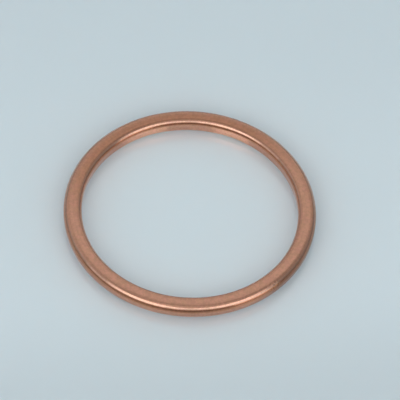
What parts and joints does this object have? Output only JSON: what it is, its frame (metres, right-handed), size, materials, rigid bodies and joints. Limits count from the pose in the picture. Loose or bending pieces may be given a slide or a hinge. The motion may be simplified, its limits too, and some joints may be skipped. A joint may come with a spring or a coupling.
{
  "type": "exhaust ring gasket",
  "caption": "Solid copper ring gasket with a rounded section and narrow flat seats, squeezed between an exhaust port and its pipe to seal the joint.",
  "frame": {"origin": "on the ring's axis, in the plane of the lower seat", "axes": "+Z along the ring's axis, from the lower seat to the upper seat"},
  "size_m": [0.05, 0.05, 0.0034],
  "materials": {
    "copper": "satin"
  },
  "bodies": {
    "root": {"gasket_ring": "copper"}
  },
  "joints": []
}
